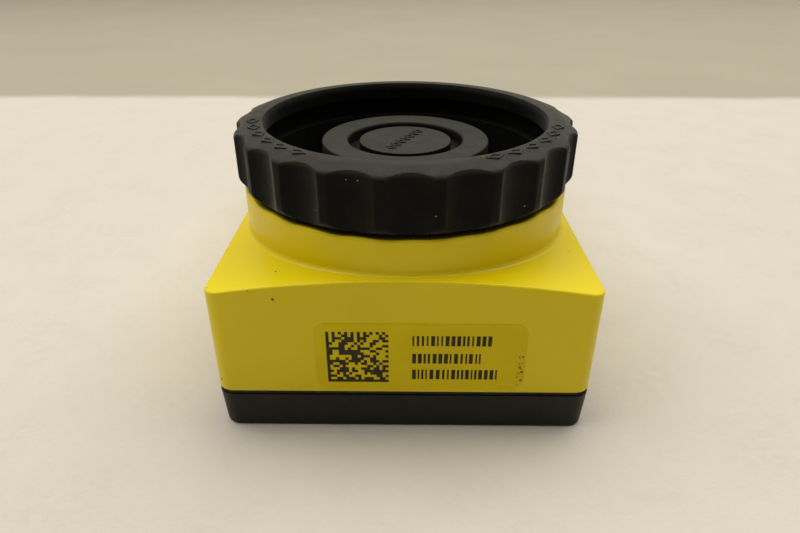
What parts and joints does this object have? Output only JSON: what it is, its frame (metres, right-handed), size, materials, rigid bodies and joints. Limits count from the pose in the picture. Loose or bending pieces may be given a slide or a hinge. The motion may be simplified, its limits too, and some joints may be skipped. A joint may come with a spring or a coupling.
{
  "type": "machine vision camera",
  "caption": "Long box-shaped industrial camera with a vaulted front, a fluted screw ring round a capped lens seat, a dark rear cover and two round screw connectors at one end.",
  "frame": {"origin": "where the optical axis meets the rear face of the rear cover", "axes": "+Z is the viewing direction along the optical axis, +Y runs along the housing to the connector end, +X is across the housing"},
  "size_m": [0.0614, 0.1242, 0.0451],
  "materials": {
    "yellow_paint": "satin powder coat",
    "black_paint": "satin",
    "black_anodised": "matt black anodised",
    "gasket_rubber": "matt",
    "seal_rubber": "matt",
    "ring_plastic": "fine moulded texture",
    "cap_plastic": "matt",
    "window_glass": "clear",
    "ceramic_package": "matt",
    "circuit_board": "solder resist",
    "chip_plastic": "matt",
    "pad_silicone": "matt",
    "link_plastic": "matt",
    "standoff_brass": "turned",
    "screw_steel": "zinc plated",
    "black_steel": "black oxide",
    "connector_nickel": "nickel plated brass",
    "insert_plastic": "matt",
    "contact_gold": "gold plated",
    "clear_plastic": "clear",
    "lamp_resin": "clear",
    "label_film": "clear film on yellow"
  },
  "bodies": {
    "camera": {"housing": "yellow_paint", "rear_cover": "black_paint", "main_gasket": "gasket_rubber", "lens_turret": "black_anodised", "turret_o_ring": "seal_rubber", "sensor_window": "window_glass", "window_retainer": "black_anodised", "image_sensor": "ceramic_package", "sensor_glass": "window_glass", "sensor_board": "circuit_board", "processor_board": "circuit_board", "processor_chip": "chip_plastic", "thermal_pad": "pad_silicone", "memory_chips": "chip_plastic", "board_link": "link_plastic", "connector_board": "circuit_board", "board_standoffs": "standoff_brass", "cover_screws": "screw_steel", "turret_screws": "black_steel", "board_screws": "screw_steel", "power_shell": "connector_nickel", "power_insert": "insert_plastic", "power_pins": "contact_gold", "network_shell": "connector_nickel", "network_insert": "insert_plastic", "network_sockets": "contact_gold", "connector_washers": "seal_rubber", "connector_nuts": "connector_nickel", "light_pipes": "clear_plastic", "status_lamps": "lamp_resin", "label": "label_film"},
    "seal_carrier": {"ring_seal": "seal_rubber"},
    "screw_ring": {"lens_ring": "ring_plastic"},
    "cap": {"dust_cap": "cap_plastic"}
  },
  "joints": [
    {"name": "ring_rise", "type": "slide", "parent": "camera", "child": "seal_carrier", "axis": [0, 0, 1], "range_m": [0, 0.00375]},
    {"name": "ring_turn", "type": "hinge", "parent": "seal_carrier", "child": "screw_ring", "pos_m": [0, 0, 0.039], "axis": [0, 0, 1], "range_deg": [0, 900]},
    {"name": "cap_lift", "type": "slide", "parent": "camera", "child": "cap", "axis": [0, 0, 1], "range_m": [0, 0.02]}
  ],
  "couplings": [
    {"joint": "ring_rise", "follows": "ring_turn", "m_per_rad": 0.00023873}
  ]
}
